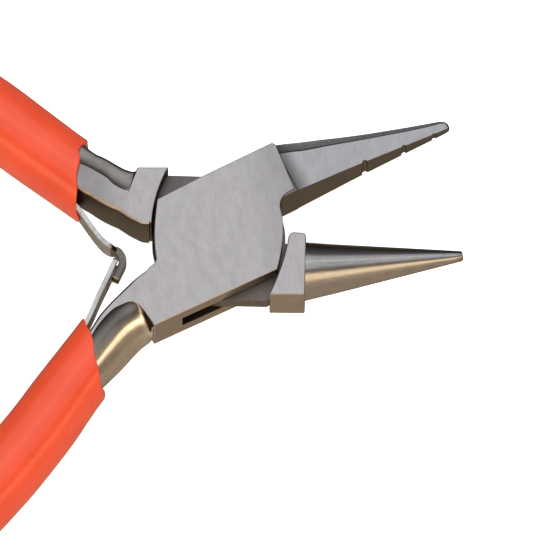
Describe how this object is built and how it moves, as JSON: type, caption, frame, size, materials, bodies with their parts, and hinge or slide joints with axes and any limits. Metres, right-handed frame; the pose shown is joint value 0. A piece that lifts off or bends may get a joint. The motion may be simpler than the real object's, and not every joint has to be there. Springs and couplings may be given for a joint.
{
  "type": "looping pliers",
  "caption": "Box-joint looping pliers with a grooved flat jaw, a round tapered jaw, interlocking leaf springs and sleeved handles.",
  "frame": {"origin": "pivot axis at the underside face of the box joint", "axes": "+X towards the jaw tips, half way between the open jaws; +Z along the pivot, out of the upper cheek; +Y towards the flat jaw"},
  "size_m": [0.1397, 0.1152, 0.0116],
  "materials": {
    "steel": "fine brushed satin, grain across the box joint",
    "pin_steel": "ground flush and brushed with the cheeks",
    "spring_steel": "tempered spring strip, sheared edges",
    "rivet_steel": "plain turned steel",
    "grip_pvc": "soft glossy orange sleeve"
  },
  "bodies": {
    "box_side": {"box_half": "steel", "pivot_pin": "pin_steel", "lower_grip": "grip_pvc", "lower_spring_rivet": "rivet_steel"},
    "tongue_side": {"tongue_half": "steel", "upper_grip": "grip_pvc", "upper_spring_rivet": "rivet_steel"},
    "upper_leaf": {"upper_leaf_spring": "spring_steel"},
    "lower_leaf": {"lower_leaf_spring": "spring_steel"}
  },
  "joints": [
    {"name": "pivot", "type": "hinge", "parent": "box_side", "child": "tongue_side", "pos_m": [0, 0, 0.005], "axis": [0, 0, 1], "range_deg": [0, 28.5], "stiffness_Nm_per_rad": 0.6, "springref_deg": -20.05},
    {"name": "upper_leaf_flex", "type": "hinge", "parent": "tongue_side", "child": "upper_leaf", "pos_m": [-0.0279, 0.0205, 0.005], "axis": [0, 0, 1], "range_deg": [0, 12.6], "deforming": ["upper_leaf_spring"]},
    {"name": "lower_leaf_flex", "type": "hinge", "parent": "box_side", "child": "lower_leaf", "pos_m": [-0.0306, -0.0162, 0.005], "axis": [0, 0, 1], "range_deg": [-16, 0], "deforming": ["lower_leaf_spring"]}
  ],
  "couplings": [
    {"joint": "upper_leaf_flex", "follows": "pivot", "ratio": 0.43},
    {"joint": "lower_leaf_flex", "follows": "pivot", "ratio": -0.55}
  ]
}
